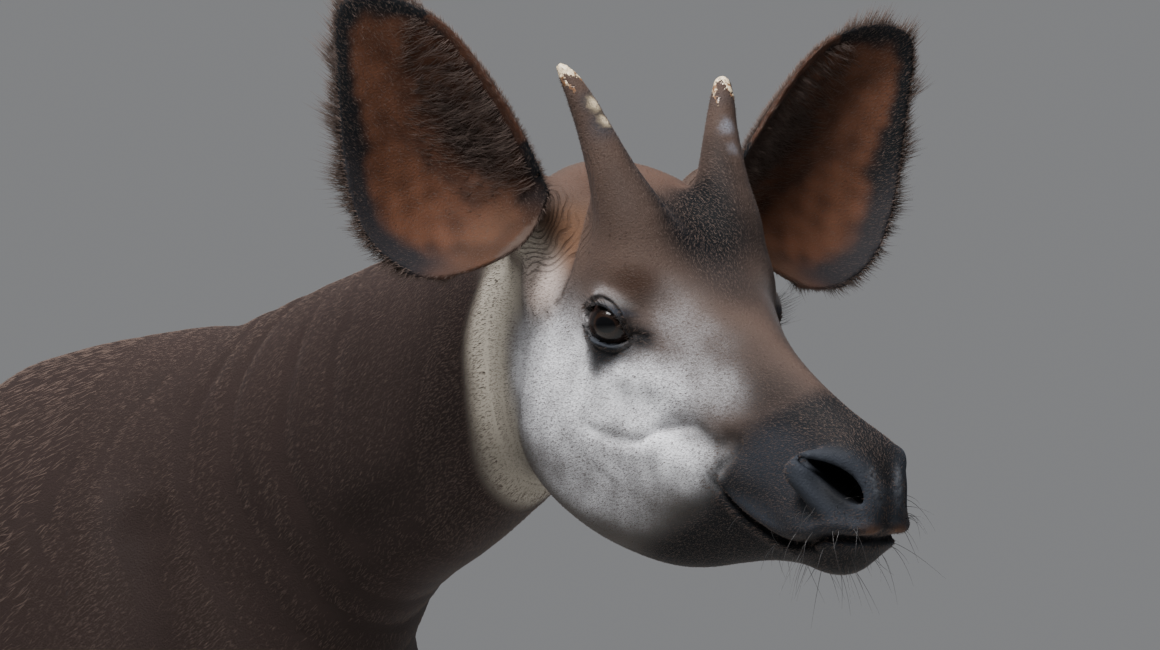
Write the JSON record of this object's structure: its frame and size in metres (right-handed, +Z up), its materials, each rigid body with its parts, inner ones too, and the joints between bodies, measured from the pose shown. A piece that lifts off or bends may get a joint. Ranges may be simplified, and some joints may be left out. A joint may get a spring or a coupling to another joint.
{
  "type": "okapi",
  "caption": "Life-size still model of an adult male okapi, standing on all fours with its neck reached forward and its head turned slightly to its right.",
  "frame": {"origin": "on the floor, under the middle of the whole animal", "axes": "+X the way the okapi faces, +Y its left side, +Z up"},
  "size_m": [2.1956, 0.5878, 1.839],
  "materials": {
    "coat": "short sleek dark brown hair",
    "face_hair": "short silver-grey hair, brown on the forehead",
    "muzzle_skin": "black skin with a fine grey bloom",
    "ear_hair": "chestnut hair with a black edge",
    "ossicone_skin": "short dark hair over skin",
    "bone": "bare worn bone",
    "eye": "wet and glossy",
    "leg_hair": "short cream hair with dark bands",
    "hoof_horn": "dull dark horn"
  },
  "bodies": {
    "root": {"ear_left": "ear_hair", "ear_right": "ear_hair", "eye_left": "eye", "eye_right": "eye", "foreleg_left_lower": "leg_hair", "foreleg_left_upper": "coat", "foreleg_right_lower": "leg_hair", "foreleg_right_upper": "coat", "head": "face_hair", "hindleg_left_lower": "leg_hair", "hindleg_left_upper": "coat", "hindleg_right_lower": "leg_hair", "hindleg_right_upper": "coat", "hoof_foreleg_left_inner": "hoof_horn", "hoof_foreleg_left_outer": "hoof_horn", "hoof_foreleg_right_inner": "hoof_horn", "hoof_foreleg_right_outer": "hoof_horn", "hoof_hindleg_left_inner": "hoof_horn", "hoof_hindleg_left_outer": "hoof_horn", "hoof_hindleg_right_inner": "hoof_horn", "hoof_hindleg_right_outer": "hoof_horn", "lower_lip": "muzzle_skin", "muzzle": "muzzle_skin", "neck": "coat", "ossicone_left": "ossicone_skin", "ossicone_right": "ossicone_skin", "ossicone_tip_left": "bone", "ossicone_tip_right": "bone", "tail": "coat", "tail_tuft": "coat", "torso": "coat"}
  },
  "joints": []
}
